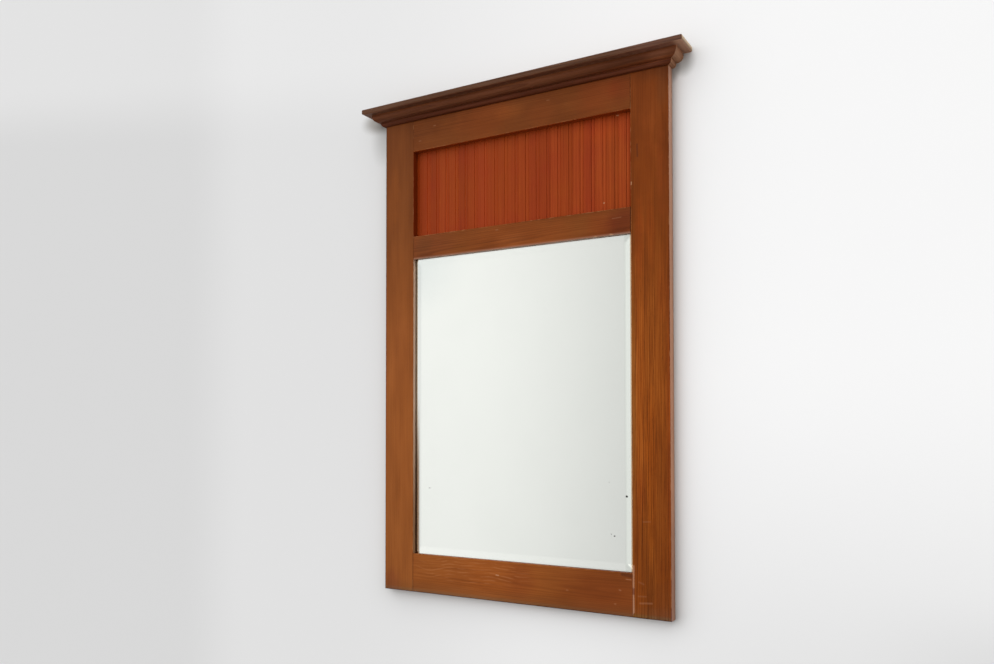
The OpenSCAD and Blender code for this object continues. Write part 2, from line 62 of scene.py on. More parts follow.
class Look:
    """A node tree. Most calls add nodes and return an output socket. Places are in millimetres."""

    def __init__(self, name, owner=None):
        self.owner = owner or bpy.data.materials.new(name)
        self.owner.use_nodes = True
        self.tree = self.owner.node_tree
        self.tree.nodes.clear()

    def place(self):
        """The place on the object in millimetres, as three sockets."""
        at = self.add("ShaderNodeTexCoord").outputs["Object"]
        return self.split(self.vector("SCALE", at, scale=1000))

    def feed(self, socket, value):
        if isinstance(value, bpy.types.NodeSocket):
            self.tree.links.new(value, socket)
        else:
            socket.default_value = value

    def add(self, kind, inputs=None, **settings):
        node = self.tree.nodes.new(kind)
        for name, value in settings.items():
            setattr(node, name, value)
        for name, value in (inputs or {}).items():
            self.feed(node.inputs[name], value)
        return node

    def math(self, operation, *values, clamp=False):
        inputs = dict(enumerate(values))
        return self.add("ShaderNodeMath", inputs, operation=operation, use_clamp=clamp).outputs[0]

    def plus(self, *values):
        total = values[0]
        for value in values[1:]:
            total = self.math("ADD", total, value)
        return total

    def times(self, *values):
        total = values[0]
        for value in values[1:]:
            total = self.math("MULTIPLY", total, value)
        return total

    def scaled(self, value, factor, shift=0.0):
        return self.math("MULTIPLY_ADD", value, factor, shift)

    def either(self, *values):
        top = values[0]
        for value in values[1:]:
            top = self.math("MAXIMUM", top, value)
        return top

    def vector(self, operation, *values, scale=None):
        inputs = dict(enumerate(values))
        if scale is not None:
            inputs["Scale"] = scale
        return self.add("ShaderNodeVectorMath", inputs, operation=operation).outputs[0]

    def join(self, x, y, z):
        return self.add("ShaderNodeCombineXYZ", {"X": x, "Y": y, "Z": z}).outputs[0]

    def split(self, vector):
        return tuple(self.add("ShaderNodeSeparateXYZ", {"Vector": vector}).outputs)

    def step(self, value, low, high):
        """0 below low and 1 above high, smoothly. With low above high it falls instead."""
        inputs = {"Value": value, "From Min": low, "From Max": high}
        node = self.add("ShaderNodeMapRange", inputs, interpolation_type="SMOOTHSTEP")
        return node.outputs["Result"]

    def spread(self, value, width):
        """A value from 0 to 1, moved to lie evenly about 0."""
        return self.scaled(value, width, -width / 2)

    def cells(self, place, scales, shift=0.0):
        """A place in cells of a pattern. Scales are cells a millimetre, and 0 leaves that direction out."""
        shifts = (shift, 0.0, 0.0)
        return self.join(*(self.scaled(*part) if part[1] else 0.0 for part in zip(place, scales, shifts)))

    def noise(self, place, scales, detail=2.0, roughness=0.5, shift=0.0):
        """A soft random pattern, about 0 to 1. The shift picks another stretch of it."""
        at = self.cells(place, scales, shift)
        inputs = {"Vector": at, "Scale": 1.0, "Detail": detail, "Roughness": roughness}
        return self.add("ShaderNodeTexNoise", inputs).outputs["Fac"]

    def chance(self, value):
        """A fixed random number, 0 to 1, for each whole number."""
        node = self.add("ShaderNodeTexWhiteNoise", {"W": value}, noise_dimensions="1D")
        return node.outputs["Value"]

    def mix(self, share, first, second, mode="MIX"):
        """The first colour, with a share of the second."""
        node = self.add("ShaderNodeMix", data_type="RGBA", blend_type=mode)
        for index, value in ((0, share), (6, first), (7, second)):
            self.feed(node.inputs[index], value)
        return node.outputs[2]

    def tint(self, share, colour, factors):
        """The colour with its red, green and blue multiplied, by a share."""
        return self.mix(share, colour, (*factors, 1), "MULTIPLY")

    def ramp(self, value, tones, stops=(0.0, 0.5, 1.0)):
        """A dark, a middle and a light display colour at three stops, and what lies between them."""
        node = self.add("ShaderNodeValToRGB", {"Fac": value})
        elements = node.color_ramp.elements
        elements.new(0.5)
        for element, stop, tone in zip(elements, stops, tones):
            element.position = stop
            element.color = srgb(*tone)
        return node.outputs["Color"]

    def bump(self, height, strength=1.0):
        """Height in millimetres."""
        inputs = {"Height": height, "Strength": strength, "Distance": 0.001}
        return self.add("ShaderNodeBump", inputs).outputs["Normal"]

    def distance(self, x, z, centre, radii, ragged=0.0):
        """How far out a place lies in an ellipse on the front: 0 at its middle and 1 at its rim."""
        across = self.scaled(x, 1 / radii[0], -centre[0] / radii[0])
        up = self.scaled(z, 1 / radii[1], -centre[1] / radii[1])
        return self.plus(self.math("SQRT", self.plus(self.times(across, across), self.times(up, up))), ragged)

    def dab(self, x, z, centre, radii, ragged=0.0, core=0.55):
        """1 inside an ellipse on the front, fading from its core to its rim."""
        return self.step(self.distance(x, z, centre, radii, ragged), 1.0, core)

    def stroke(self, x, z, start, end, width, ragged=0.0):
        """1 along a straight stroke on the front, fading at its sides."""
        run, rise = end[0] - start[0], end[1] - start[1]
        length = math.hypot(run, rise)
        run, rise = run / length, rise / length
        along = self.plus(self.scaled(x, run), self.scaled(z, rise), -start[0] * run - start[1] * rise)
        aside = self.plus(self.scaled(z, run), self.scaled(x, -rise), start[0] * rise - start[1] * run)
        past = self.either(self.scaled(along, -1.0), self.plus(along, -length), 0.0)
        away = self.math("SQRT", self.plus(self.times(aside, aside), self.times(past, past)))
        return self.step(self.plus(away, ragged), 0.6 * width, 0.2 * width)

    def turned(self, axis, low, high):
        """A step on how far the flat face looks along an axis."""
        facing = self.split(self.add("ShaderNodeNewGeometry").outputs["True Normal"])
        return self.step(facing["XYZ".index(axis)], low, high)

    def finish(self, shader):
        self.add("ShaderNodeOutputMaterial", {"Surface": shader})
        return self.owner

    def shader(self, inputs):
        return self.add("ShaderNodeBsdfPrincipled", inputs).outputs["BSDF"]

    def clear(self):
        return self.add("ShaderNodeBsdfTransparent").outputs["BSDF"]

    def blend(self, share, first, second):
        """The first shader, with a share of the second."""
        return self.add("ShaderNodeMixShader", {0: share, 1: first, 2: second}).outputs[0]


def dress(names, material):
    """Puts a material on CAD nodes."""
    for name in names:
        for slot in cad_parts[name].material_slots:
            slot.material = material


# Where the members of the frame lie, in millimetres: its front, the sides of the stiles, and the rails' edges
Y_FRONT = -26.0
OUTER, INNER = 400.0, 308.0
Z_BOTTOM, Z_MIRROR, Z_MIDDLE, Z_PANEL, Z_TOP, Z_CAP = -1215.0, -1115.0, -335.0, -274.0, -46.0, 65.0

# The row of slats: how many, the first joint between two, their pitch and their front
SLATS, FIRST_JOINT, SLAT_PITCH, Y_SLAT = 22, -295.7, 29.82, -8.9

# The pockets for the hangers: centre, half the width, lower and upper end, and floor
POCKET_X, POCKET_HALF_W, POCKET_BOTTOM, POCKET_TOP, Y_POCKET = 354.0, 18.0, -63.5, 16.5, -7.0

# Faces turned right, to the wall and down: the axis, and the limits between which they start to count
RIGHT, BACK, DOWN = ("X", 0.75, 0.92), ("Y", 0.3, 0.7), ("Z", -0.3, -0.8)


def grain(look, board, pith, seed, ring=3.0, lean=0.012, wander=10.0):
    """Growth rings cut by the face of a board: sockets for the dark early wood, its pores, and fine fibres.

    board is the place along, across and into the board, and pith the trunk's middle, across and behind it.
    ring is a year's growth, lean is how much the trunk leans out of the board, and wander is how far its
    middle bends from side to side.
    """
    along, across, deep = board
    shift = 37.7 * seed
    # The trunk's middle wanders slowly from side to side, and the rings ripple
    bend = look.spread(look.noise(board, (0.0042, 0.011, 0.011), 2.5, shift=shift), wander)
    ripple = look.spread(look.noise(board, (0.03, 0.09, 0.09), 1.0, shift=shift), 1.6)
    side = look.plus(across, bend, ripple, -pith[0])
    back = look.plus(look.scaled(along, lean, -pith[1]), deep)
    radius = look.math("SQRT", look.plus(look.times(side, side), look.times(back, back)))
    # Years are counted outwards, and differ in width and in strength
    count = look.scaled(radius, 1 / ring)
    uneven = look.noise((count, 0.0, 0.0), (0.35, 0, 0), 1.0, shift=shift)
    count = look.plus(count, look.scaled(uneven, 1.6))
    part = look.math("FRACT", count)
    year = look.chance(look.math("FLOOR", look.plus(count, shift)))
    early = look.plus(look.step(part, 0.5, 0.06), look.step(part, 0.9, 1.0))
    early = look.times(look.math("MINIMUM", early, 1.0), look.scaled(year, 0.75, 0.25))
    # Pores are short dashes, more of them in the early wood
    dashes = look.step(look.noise(board, (0.11, 2.4, 2.4), 2.0, 0.6, shift=shift), 0.56, 0.68)
    pores = look.times(dashes, look.scaled(early, 0.75, 0.25))
    fibre = look.noise(board, (0.012, 0.55, 0.55), 3.0, 0.6, shift=shift)
    return early, pores, fibre


# How much of the varnish shines: it is old, and rubbed dull
VARNISH_LEVEL = 0.06


def varnished(look, colour, rough, height):
    return look.finish(look.shader({
        "Base Color": colour,
        "Roughness": rough,
        "Specular IOR Level": VARNISH_LEVEL,
        "Normal": look.bump(height, 0.8),
    }))


def oak(name, run, pith, seed, tones, centre=0.0, contrast=0.7, layers=(), lines=0.0, seams=(), calm=None):
    """Stained and varnished oak for one board with its grain along run. Layers of wear, and of painted light
    and shade, go over its colour.

    centre is the middle of the board's width. lines is the strength of the pale lines between rings.
    calm gives two heights: from the first up to the second the figure gets weaker.
    """
    look = Look(name)
    place = x, y, z = look.place()
    along, across, deep = {"X": (x, z, y), "Y": (y, z, x), "Z": (z, x, y)}[run]
    board = (along, look.plus(across, -centre), deep)
    early, pores, fibre = grain(look, board, pith, seed)

    # Slow changes of tone along the board, streaks in it, and the grain itself
    cloud = look.noise(board, (0.0045, 0.022, 0.022), 2.0, shift=seed)
    streak = look.noise(board, (0.006, 0.16, 0.16), 3.0, 0.55, shift=seed * 3.1)
    figure = look.plus(
        look.spread(streak, 0.62 * contrast),
        look.spread(fibre, 0.42 * contrast),
        look.scaled(early, -0.34 * contrast, 0.07 * contrast),
        look.scaled(pores, -0.42 * contrast),
        look.times(look.step(early, 0.25, 0.0), look.step(fibre, 0.35, 0.65), lines),
    )
    if calm:
        figure = look.times(figure, look.scaled(look.step(z, *calm), -0.65, 1.0))
    value = look.plus(0.5, look.spread(cloud, 0.6), figure)
    colour = look.ramp(value, tones)
    for layer in layers:
        colour = layer(look, place, colour)
    seam = look.times(seam_dirt_and_shade(look, place, seams), at_front(look, y)) if seams else 0.0
    colour = look.mix(look.times(seam, 0.8), colour, srgb(*GRIME_AND_SHADE))

    # Backs and the pockets cut into them were left raw, with the marks of the saw
    raw = look.times(look.step(y, -0.6, -0.2), look.turned(*BACK))
    raw = look.either(raw, in_pocket(look, place))
    saw = look.noise(board, (0.35, 0.02, 0), 3.0, 0.7)
    sawn = look.plus(look.scaled(value, 0.7), look.scaled(saw, 0.18, 0.085))
    sawn_tones = ((96, 70, 46), (139, 108, 76), (168, 138, 102))
    colour = look.mix(raw, colour, look.ramp(sawn, sawn_tones, (0.2, 0.55, 0.9)))

    smear = look.noise(place, (0.018, 0.018, 0.018), 4.0, 0.6)
    rough = look.plus(0.32, look.scaled(smear, 0.24, -0.08), look.scaled(pores, 0.2), look.scaled(raw, 0.35),
                      look.times(seam, 0.5))
    height = look.plus(look.scaled(pores, -0.09), look.scaled(early, -0.02), look.scaled(fibre, 0.035),
                       look.scaled(cloud, 0.2), look.times(raw, look.scaled(saw, 0.12)))
    return varnished(look, colour, rough, height)


def at_front(look, y):
    """1 on the front face of the frame."""
    return look.step(y, Y_FRONT + 2.4, Y_FRONT + 1.0)


def in_pocket(look, place):
    """1 on the walls and floor of the pockets for the hangers."""
    x, y, z = place
    none, full = 0.6, 0.2
    aside = look.math("ABSOLUTE", look.plus(look.math("ABSOLUTE", x), -POCKET_X))
    return look.times(
        look.step(aside, POCKET_HALF_W + none, POCKET_HALF_W + full),
        look.step(y, Y_POCKET - none, Y_POCKET - full),
        look.step(z, POCKET_BOTTOM - none, POCKET_BOTTOM - full),
        look.step(z, POCKET_TOP + none, POCKET_TOP + full),
    )


def darker_top_and_corner(look, place, colour):
    """The front is darker towards the top, and hands have darkened the polish at the lower right corner."""
    x, _, z = place
    upper = look.times(look.step(z, -820.0, -20.0), 0.62)
    corner = look.scaled(look.dab(x, z, (430.0, -1260.0), (420.0, 560.0)), 0.42)
    share = look.math("MINIMUM", look.plus(upper, corner), 1.0)
    return look.tint(share, colour, (0.46, 0.36, 0.30))


def patched(patches):
    """Broad patches of the front that differ in tone: centre, radii and the factors for its colour."""
    def layer(look, place, colour):
        x, _, z = place
        ragged = look.spread(look.noise(place, (0.02, 0, 0.02), 3.0, 0.6), 0.7)
        for centre, radii, factors in patches:
            colour = look.tint(look.dab(x, z, centre, radii, ragged, core=0.2), colour, factors)
        return colour
    return layer


def painted_light_right(tone, share=1.0, limit=None):
    """Faces turned to the right are painted a paler tone, or only those below a limit: painted sheen and
    painted light bounced onto them from the wall and the mirror.
    """
    def layer(look, place, colour):
        amount = look.scaled(look.turned(*RIGHT), share)
        if limit is not None:
            amount = look.times(amount, look.step(place[2], limit + 4, limit - 4))
        cloud = look.noise(place, (0, 0.02, 0.006), 4.0, 0.6)
        darker = srgb(*(0.9 * part for part in tone))
        lighter = srgb(*(min(255, 1.08 * part) for part in tone))
        return look.mix(amount, colour, look.mix(cloud, darker, lighter))
    return layer


def worn_arris(near):
    """The varnish is rubbed through in places along the edges that near finds."""
    def layer(look, place, colour):
        rub = look.step(look.noise(place, (0.05, 0.05, 0.05), 4.0, 0.7), 0.46, 0.66)
        worn = look.times(near(look, place), rub, look.step(place[1], Y_FRONT + 2.2, Y_FRONT + 0.4))
        return look.mix(look.scaled(worn, 0.5), colour, srgb(186, 132, 88))
    return layer


# How far from an edge its wear begins, and where it is full
ARRIS = (2.2, 0.4)


def stile_arris(look, place):
    """Near the side edges and the foot of both stiles."""
    x, _, z = place
    inside = look.math("ABSOLUTE", x)
    apart = look.math("MINIMUM", look.scaled(inside, -1.0, OUTER), look.scaled(inside, 1.0, -INNER))
    apart = look.math("MINIMUM", apart, look.scaled(z, 1.0, -Z_BOTTOM))
    return look.step(apart, *ARRIS)


def rail_arris(bottom, top):
    """Near the edges of a rail between two heights."""
    def near(look, place):
        z = place[2]
        apart = look.math("MINIMUM", look.scaled(z, 1.0, -bottom), look.scaled(z, -1.0, top))
        return look.step(apart, *ARRIS)
    return near


def seam_dirt_and_shade(look, place, seams, width=4.5):
    """Dirt and old polish along straight seams of the front, partly painted shade along the frame's lower
    edges, each with a start, an end and its strength.
    """
    x, _, z = place
    ragged = look.spread(look.noise(place, (0.09, 0, 0.09), 3.0, 0.6), 3.0)
    return look.either(*(look.times(look.stroke(x, z, start, end, width, ragged), strength)
                         for start, end, strength in seams))


def scratched(marks):
    """Scratches and chips on the front, each with a start, an end, its width, strength and colour."""
    def layer(look, place, colour):
        x, y, z = place
        ragged = look.noise(place, (0.6, 0, 0.6), 2.0, 0.6)
        front = at_front(look, y)
        for start, end, width, strength, tone in marks:
            ink = look.stroke(x, z, start, end, width, look.spread(ragged, 0.8 * width))
            colour = look.mix(look.times(ink, front, strength), colour, srgb(*tone))
        return colour
    return layer


# Colours of bare wood, rubbed varnish, dark stains, and the dirt and painted shade in seams
BARE, PALE, DARK, GRIME_AND_SHADE = (198, 150, 112), (172, 118, 84), (66, 30, 18), (56, 24, 10)

# Marks that show in the view: start, end, width, strength and colour. Places are x and z in millimetres.
MARKS = {
    "right_stile": [
        ((335.0, -997.0), (351.0, -996.0), 4.0, 0.16, PALE),
        ((326.0, -1181.5), (354.0, -1179.0), 5.0, 0.26, PALE),
        ((322.0, -1166.0), (340.0, -1165.0), 4.4, 0.15, PALE),
        ((324.0, -1134.0), (335.0, -1138.0), 5.0, 0.13, PALE),
        ((309.4, -218.0), (309.2, -223.0), 4.0, 0.6, BARE),
        ((324.0, -132.0), (325.0, -160.0), 5.0, 0.45, DARK),
        ((310.4, -1099.0), (310.0, -1147.0), 6.4, 0.6, (182, 134, 104)),
        ((309.8, -1150.0), (309.6, -1162.0), 7.0, 0.5, (104, 74, 70)),
        ((309.8, -1166.0), (310.2, -1203.0), 6.4, 0.62, (178, 134, 106)),
    ],
    "bottom_rail": [
        ((276.0, -1156.0), (279.0, -1156.5), 4.0, 0.35, PALE),
        ((141.0, -1169.0), (145.0, -1169.0), 4.0, 0.25, PALE),
        ((264.0, -1189.0), (267.0, -1189.0), 4.0, 0.3, PALE),
        ((-53.0, -1150.0), (-46.0, -1150.5), 3.6, 0.5, BARE),
        ((284.0, -1119.0), (306.0, -1122.0), 11.0, 0.5, DARK),
        ((292.0, -1130.0), (305.0, -1130.5), 2.4, 0.5, PALE),
    ],
    "middle_rail": [
        ((262.0, -334.0), (257.0, -333.0), 4.0, 0.6, BARE),
        ((222.0, -334.0), (218.0, -333.5), 4.0, 0.5, BARE),
        ((262.0, -296.5), (284.0, -295.5), 2.4, 0.3, PALE),
        ((-53.0, -286.0), (-47.0, -286.0), 3.4, 0.3, PALE),
    ],
    "top_rail": [
        ((-243.0, 13.0), (-237.0, 13.0), 3.2, 0.35, PALE),
        ((-290.0, -20.0), (-284.0, -20.0), 3.2, 0.3, PALE),
        ((92.0, 15.0), (98.0, 15.0), 3.2, 0.25, PALE),
    ],
}

# Seams where dirt shows: the joints of the frame and its outer and lower edges; along the lower edges the
# dark line is partly painted shade
SEAMS = {
    "left_stile": [((-OUTER, Z_BOTTOM), (-OUTER, Z_CAP), 1.0), ((-INNER, Z_BOTTOM), (-INNER, Z_MIRROR), 0.35),
                   ((-OUTER, Z_BOTTOM), (-INNER, Z_BOTTOM), 1.0)],
    "right_stile": [((INNER, Z_TOP), (INNER, Z_CAP), 0.2), ((INNER, Z_BOTTOM), (OUTER, Z_BOTTOM), 1.0)],
    "bottom_rail": [((-INNER, Z_BOTTOM), (INNER, Z_BOTTOM), 1.0),
                    ((-INNER, Z_BOTTOM), (-INNER, Z_MIRROR), 0.35)],
    "middle_rail": [((-INNER, Z_MIDDLE), (-INNER, Z_PANEL), 0.5), ((INNER, Z_MIDDLE), (INNER, Z_PANEL), 0.9)],
    "top_rail": [((INNER, Z_TOP), (INNER, Z_CAP), 0.2)],
}

# Broad patches that are paler, redder or darker: centre and radii in millimetres, and colour factors; a few
# are painted shade and painted light, marked where they stand
PATCHES = {
    "right_stile": [
        ((309.0, -720.0), (15.0, 520.0), (1.12, 1.45, 2.50)),
        ((400.0, -760.0), (15.0, 560.0), (1.02, 0.90, 1.05)),
        ((404.0, 70.0), (44.0, 100.0), (0.72, 0.76, 1.1)),
        ((346.0, 0.0), (90.0, 190.0), (1.22, 1.24, 1.85)),
        # Painted shade under the bead
        ((362.0, 52.0), (80.0, 56.0), (0.82, 0.88, 1.16)),
        ((344.0, -190.0), (46.0, 160.0), (1.15, 1.10, 1.10)),
        ((352.0, -1050.0), (30.0, 300.0), (0.92, 0.96, 0.96)),
        ((392.0, -1205.0), (80.0, 90.0), (0.84, 0.90, 1.6)),
        ((329.0, -640.0), (17.0, 480.0), (1.22, 1.22, 1.32)),
        ((329.0, -350.0), (17.0, 130.0), (1.16, 1.08, 1.20)),
        ((329.0, -930.0), (17.0, 90.0), (1.18, 1.12, 1.20)),
        ((353.0, -890.0), (18.0, 270.0), (1.40, 1.36, 1.14)),
        ((356.0, -330.0), (16.0, 120.0), (1.16, 1.08, 1.05)),
        ((384.0, -210.0), (20.0, 140.0), (1.22, 1.18, 1.70)),
        ((385.0, -14.0), (22.0, 60.0), (0.82, 0.90, 1.30)),
        ((383.0, -460.0), (18.0, 110.0), (1.14, 1.10, 1.25)),
    ],
    "left_stile": [
        ((-350.0, -640.0), (90.0, 520.0), (1.08, 1.06, 1.06)),
        ((-373.0, -160.0), (32.0, 110.0), (1.20, 1.20, 1.12)),
        ((-356.0, -574.0), (70.0, 150.0), (1.12, 1.14, 1.22)),
        ((-375.0, -1195.0), (40.0, 45.0), (0.86, 0.78, 0.95)),
    ],
    "bottom_rail": [
        ((-70.0, -1160.0), (190.0, 80.0), (1.12, 1.06, 1.0)),
        ((15.0, -1160.0), (60.0, 60.0), (0.86, 0.80, 0.86)),
        ((-160.0, -1164.0), (60.0, 50.0), (0.92, 0.93, 0.96)),
        ((240.0, -1165.0), (160.0, 80.0), (0.98, 0.87, 0.88)),
    ],
    "cap_board": [((392.0, 72.0), (130.0, 40.0), (1.26, 1.32, 1.60))],
    "crown_front": [
        ((330.0, 55.0), (150.0, 60.0), (0.86, 0.84, 0.84)),
        ((385.0, 54.0), (40.0, 12.0), (1.30, 1.42, 1.65)),
        # Painted light in the crease between the crown and the bead
        ((350.0, 47.5), (190.0, 3.5), (1.60, 1.50, 1.30)),
    ],
    "bead_front": [
        # Painted light in the crease between the bead and the crown
        ((350.0, 46.5), (190.0, 3.0), (1.60, 1.50, 1.30)),
        ((372.0, 43.0), (30.0, 6.0), (1.25, 1.40, 1.60)),
    ],
    "middle_rail": [
        ((-20.0, -304.0), (180.0, 70.0), (1.16, 1.08, 1.06)),
        ((-260.0, -304.0), (120.0, 70.0), (1.02, 0.98, 1.35)),
        ((300.0, -304.0), (90.0, 70.0), (0.82, 0.70, 0.84)),
        ((-275.0, -300.0), (40.0, 40.0), (0.86, 0.95, 1.0)),
        ((-12.0, -316.0), (60.0, 26.0), (1.12, 1.18, 1.40)),
        ((110.0, -308.0), (90.0, 50.0), (1.08, 1.04, 1.06)),
        ((231.0, -308.0), (50.0, 50.0), (1.02, 0.86, 0.82)),
        ((285.0, -300.0), (45.0, 50.0), (0.84, 0.72, 0.74)),
    ],
    "top_rail": [
        ((-90.0, 5.0), (120.0, 80.0), (1.14, 1.03, 0.95)),
        ((80.0, 5.0), (80.0, 80.0), (0.92, 0.88, 0.90)),
        ((230.0, 5.0), (90.0, 80.0), (1.12, 0.94, 0.92)),
        ((300.0, 20.0), (90.0, 60.0), (1.12, 1.10, 1.06)),
        ((-80.0, 34.0), (180.0, 40.0), (1.16, 1.20, 1.38)),
        ((270.0, 50.0), (110.0, 32.0), (0.84, 0.92, 1.0)),
        ((-270.0, -4.0), (50.0, 40.0), (1.05, 1.08, 1.20)),
        ((-191.0, 4.0), (60.0, 26.0), (1.20, 1.22, 1.25)),
        ((-11.0, 4.0), (60.0, 26.0), (1.20, 1.22, 1.22)),
        ((73.0, -16.0), (55.0, 50.0), (1.20, 1.18, 1.20)),
        ((285.0, 0.0), (45.0, 60.0), (0.92, 0.78, 0.82)),
    ],
}


def brown_foot(look, place, colour):
    """The pale painted light on the stile's inner side turns brown again towards its lower end."""
    side = look.turned(*RIGHT)
    share = look.times(side, look.step(place[2], -700.0, -1080.0), look.step(place[2], Z_BOTTOM, Z_MIRROR))
    return look.tint(share, colour, (0.46, 0.34, 0.24))


def outer_side_tones(look, place, colour):
    """The outer side, painted pale as light, is paler above, browner towards its foot and darker close to the
    wall.
    """
    _, y, z = place
    side = look.turned(*RIGHT)
    colour = look.tint(look.times(side, look.step(z, -420.0, -80.0)), colour, (1.05, 1.14, 1.28))
    colour = look.tint(look.times(side, look.step(z, -860.0, -1190.0)), colour, (0.66, 0.66, 0.70))
    return look.tint(look.times(side, look.step(y, -9.0, -1.0)), colour, (0.74, 0.78, 0.84))


def red_recess_shade(look, place, colour):
    """The stile's inner side beside the slats is painted dark red: painted shade in the deep recess, reddened
    by light bounced from the slats.
    """
    z = place[2]
    within = look.times(look.step(z, Z_PANEL - 2.0, Z_PANEL + 2.0), look.step(z, Z_TOP + 2.0, Z_TOP - 2.0))
    share = look.times(within, look.turned("X", 0.4, 0.8), 0.8)
    return look.mix(share, colour, srgb(122, 40, 6))


def red_lift_below(look, place, colour):
    """The top rail's underside over the slats is painted a lighter red: painted light on the shade line at
    the top of the panel.
    """
    down = look.times(look.turned(*DOWN), look.step(place[2], Z_TOP + 3.0, Z_TOP + 1.5))
    return look.mix(look.times(down, 0.85), colour, srgb(156, 66, 22))


def rubbed_and_lit_below(look, place, colour):
    """The middle rail's underside and lower edge are painted pale over the plate: partly rubbed wear, partly
    painted light on faces that look down.
    """
    _, y, z = place
    down = look.times(look.turned(*DOWN), 0.85)
    edge = look.times(look.step(z, Z_MIDDLE + 6.0, Z_MIDDLE + 1.0), at_front(look, y), 0.36)
    within = look.step(z, Z_MIDDLE + 8.0, Z_MIDDLE + 6.0)
    return look.mix(look.times(look.either(down, edge), within), colour, srgb(182, 140, 118))


# How the wood greys towards the foot of the frame: factors for its colour, and more for its lowest part
FOOT_DUST = {
    "left_stile": ((0.88, 0.93, 1.00), (0.82, 1.12, 1.95)),
    "bottom_rail": ((0.86, 0.92, 1.15), (0.84, 1.16, 2.00)),
    "right_stile": ((1.00, 1.15, 2.10), (0.84, 1.36, 2.30)),
}


def dusty_foot(upper, lower):
    """Dust greys the front over its lowest 34 mm, and more over the last 13 mm."""
    def layer(look, place, colour):
        front = at_front(look, place[1])
        for none, full, factors in ((34.0, 14.0, upper), (13.0, 3.0, lower)):
            low = look.step(place[2], Z_BOTTOM + none, Z_BOTTOM + full)
            colour = look.tint(look.times(low, front), colour, factors)
        return colour
    return layer


def wavy_figure(look, place, colour):
    """Fine pale lines that wave along the left half of the bottom rail."""
    x, y, z = place
    wave = look.noise(place, (0.009, 0, 0.004), 1.0, shift=3.0)
    part = look.math("FRACT", look.plus(look.scaled(z, 1 / 8.5), look.scaled(wave, 4.5)))
    line = look.times(look.step(part, 0.2, 0.5), look.step(part, 0.85, 0.55))
    broken = look.noise(place, (0.022, 0, 0.11), 2.0, 0.6)
    share = look.times(line, look.step(broken, 0.42, 0.62), look.dab(x, z, (-130.0, -1146.0), (210.0, 42.0)),
                       at_front(look, y), 0.42)
    return look.mix(share, colour, srgb(174, 108, 62))


def crown_top_lift(look, place, colour):
    """The crown moulding is painted paler towards its top: painted light where the cap board shades it."""
    return look.tint(look.step(place[2], Z_CAP - 15.0, Z_CAP - 3.0), colour, (1.35, 1.32, 1.25))


def painted_light_below(look, place, colour):
    """The cap board's down-facing faces are painted paler: painted light from below."""
    return look.tint(look.turned("Z", -0.2, -0.9), colour, (1.7, 1.6, 1.5))


def wall_bounce_underside(look, place, colour):
    """The cap board's underside is painted pale at its right end: painted light bounced up from the wall."""
    down = look.turned("Z", -0.4, -0.8)
    share = look.times(down, look.step(place[0], 418.0, 440.0))
    return look.mix(share, colour, srgb(176, 132, 106))


def grimed_end(look, place, colour):
    """The lower half of the cap board's right end is browner."""
    side = look.turned("X", 0.4, 0.8)
    share = look.times(side, look.step(place[2], Z_CAP + 9.0, Z_CAP + 3.0))
    return look.tint(share, colour, (0.50, 0.43, 0.37))


# What shows on single members only, besides their patches, darker top and wear; some of it is painted light
# and shade
EXTRA_LAYERS = {
    "left_stile": [red_recess_shade, painted_light_right((255, 206, 176), limit=Z_MIDDLE), brown_foot],
    "right_stile": [painted_light_right((192, 138, 108)), outer_side_tones],
    "bottom_rail": [wavy_figure],
    "middle_rail": [rubbed_and_lit_below],
    "top_rail": [red_lift_below],
    "cap_board": [painted_light_below, painted_light_right((222, 194, 158), 0.85), grimed_end, wall_bounce_underside],
    "crown_front": [crown_top_lift],
}


def make_members():
    """Oak for the stiles and rails: grain, centre, pith, tones, contrast, pale lines and edges of each."""
    light_brown = ((92, 45, 12), (142, 79, 32), (168, 100, 46))
    brown = ((82, 38, 8), (138, 74, 27), (166, 96, 42))
    russet = ((74, 32, 2), (136, 66, 12), (168, 92, 28))
    members = {
        "left_stile": ("Z", -354.0, (-90.0, 40.0), light_brown, 0.4, 0.0, stile_arris),
        "right_stile": ("Z", 354.0, (-70.0, 24.0), russet, 1.15, 0.1, stile_arris),
        "bottom_rail": ("X", -1165.0, (6.0, 10.0), brown, 0.28, 0.08, rail_arris(Z_BOTTOM, Z_MIRROR)),
        "middle_rail": ("X", -304.0, (-24.0, 14.0), brown, 0.45, 0.08, rail_arris(Z_MIDDLE, Z_PANEL)),
        "top_rail": ("X", 8.0, (60.0, 20.0), brown, 0.36, 0.08, rail_arris(Z_TOP, Z_CAP)),
    }
    calm = {"right_stile": (-560.0, -260.0)}
    # Each board has a seed of its own, so no two show the same grain
    for seed, (node, member) in enumerate(members.items(), start=1):
        run, centre, pith, tones, contrast, lines, near = member
        layers = [patched(PATCHES[node]), darker_top_and_corner, worn_arris(near), *EXTRA_LAYERS[node]]
        if node in FOOT_DUST:
            layers.append(dusty_foot(*FOOT_DUST[node]))
        if node in MARKS:
            layers.append(scratched(MARKS[node]))
        dress([node], oak(f"oak_{node}", run, pith, seed, tones, centre, contrast, layers, lines, SEAMS[node],
                          calm.get(node)))


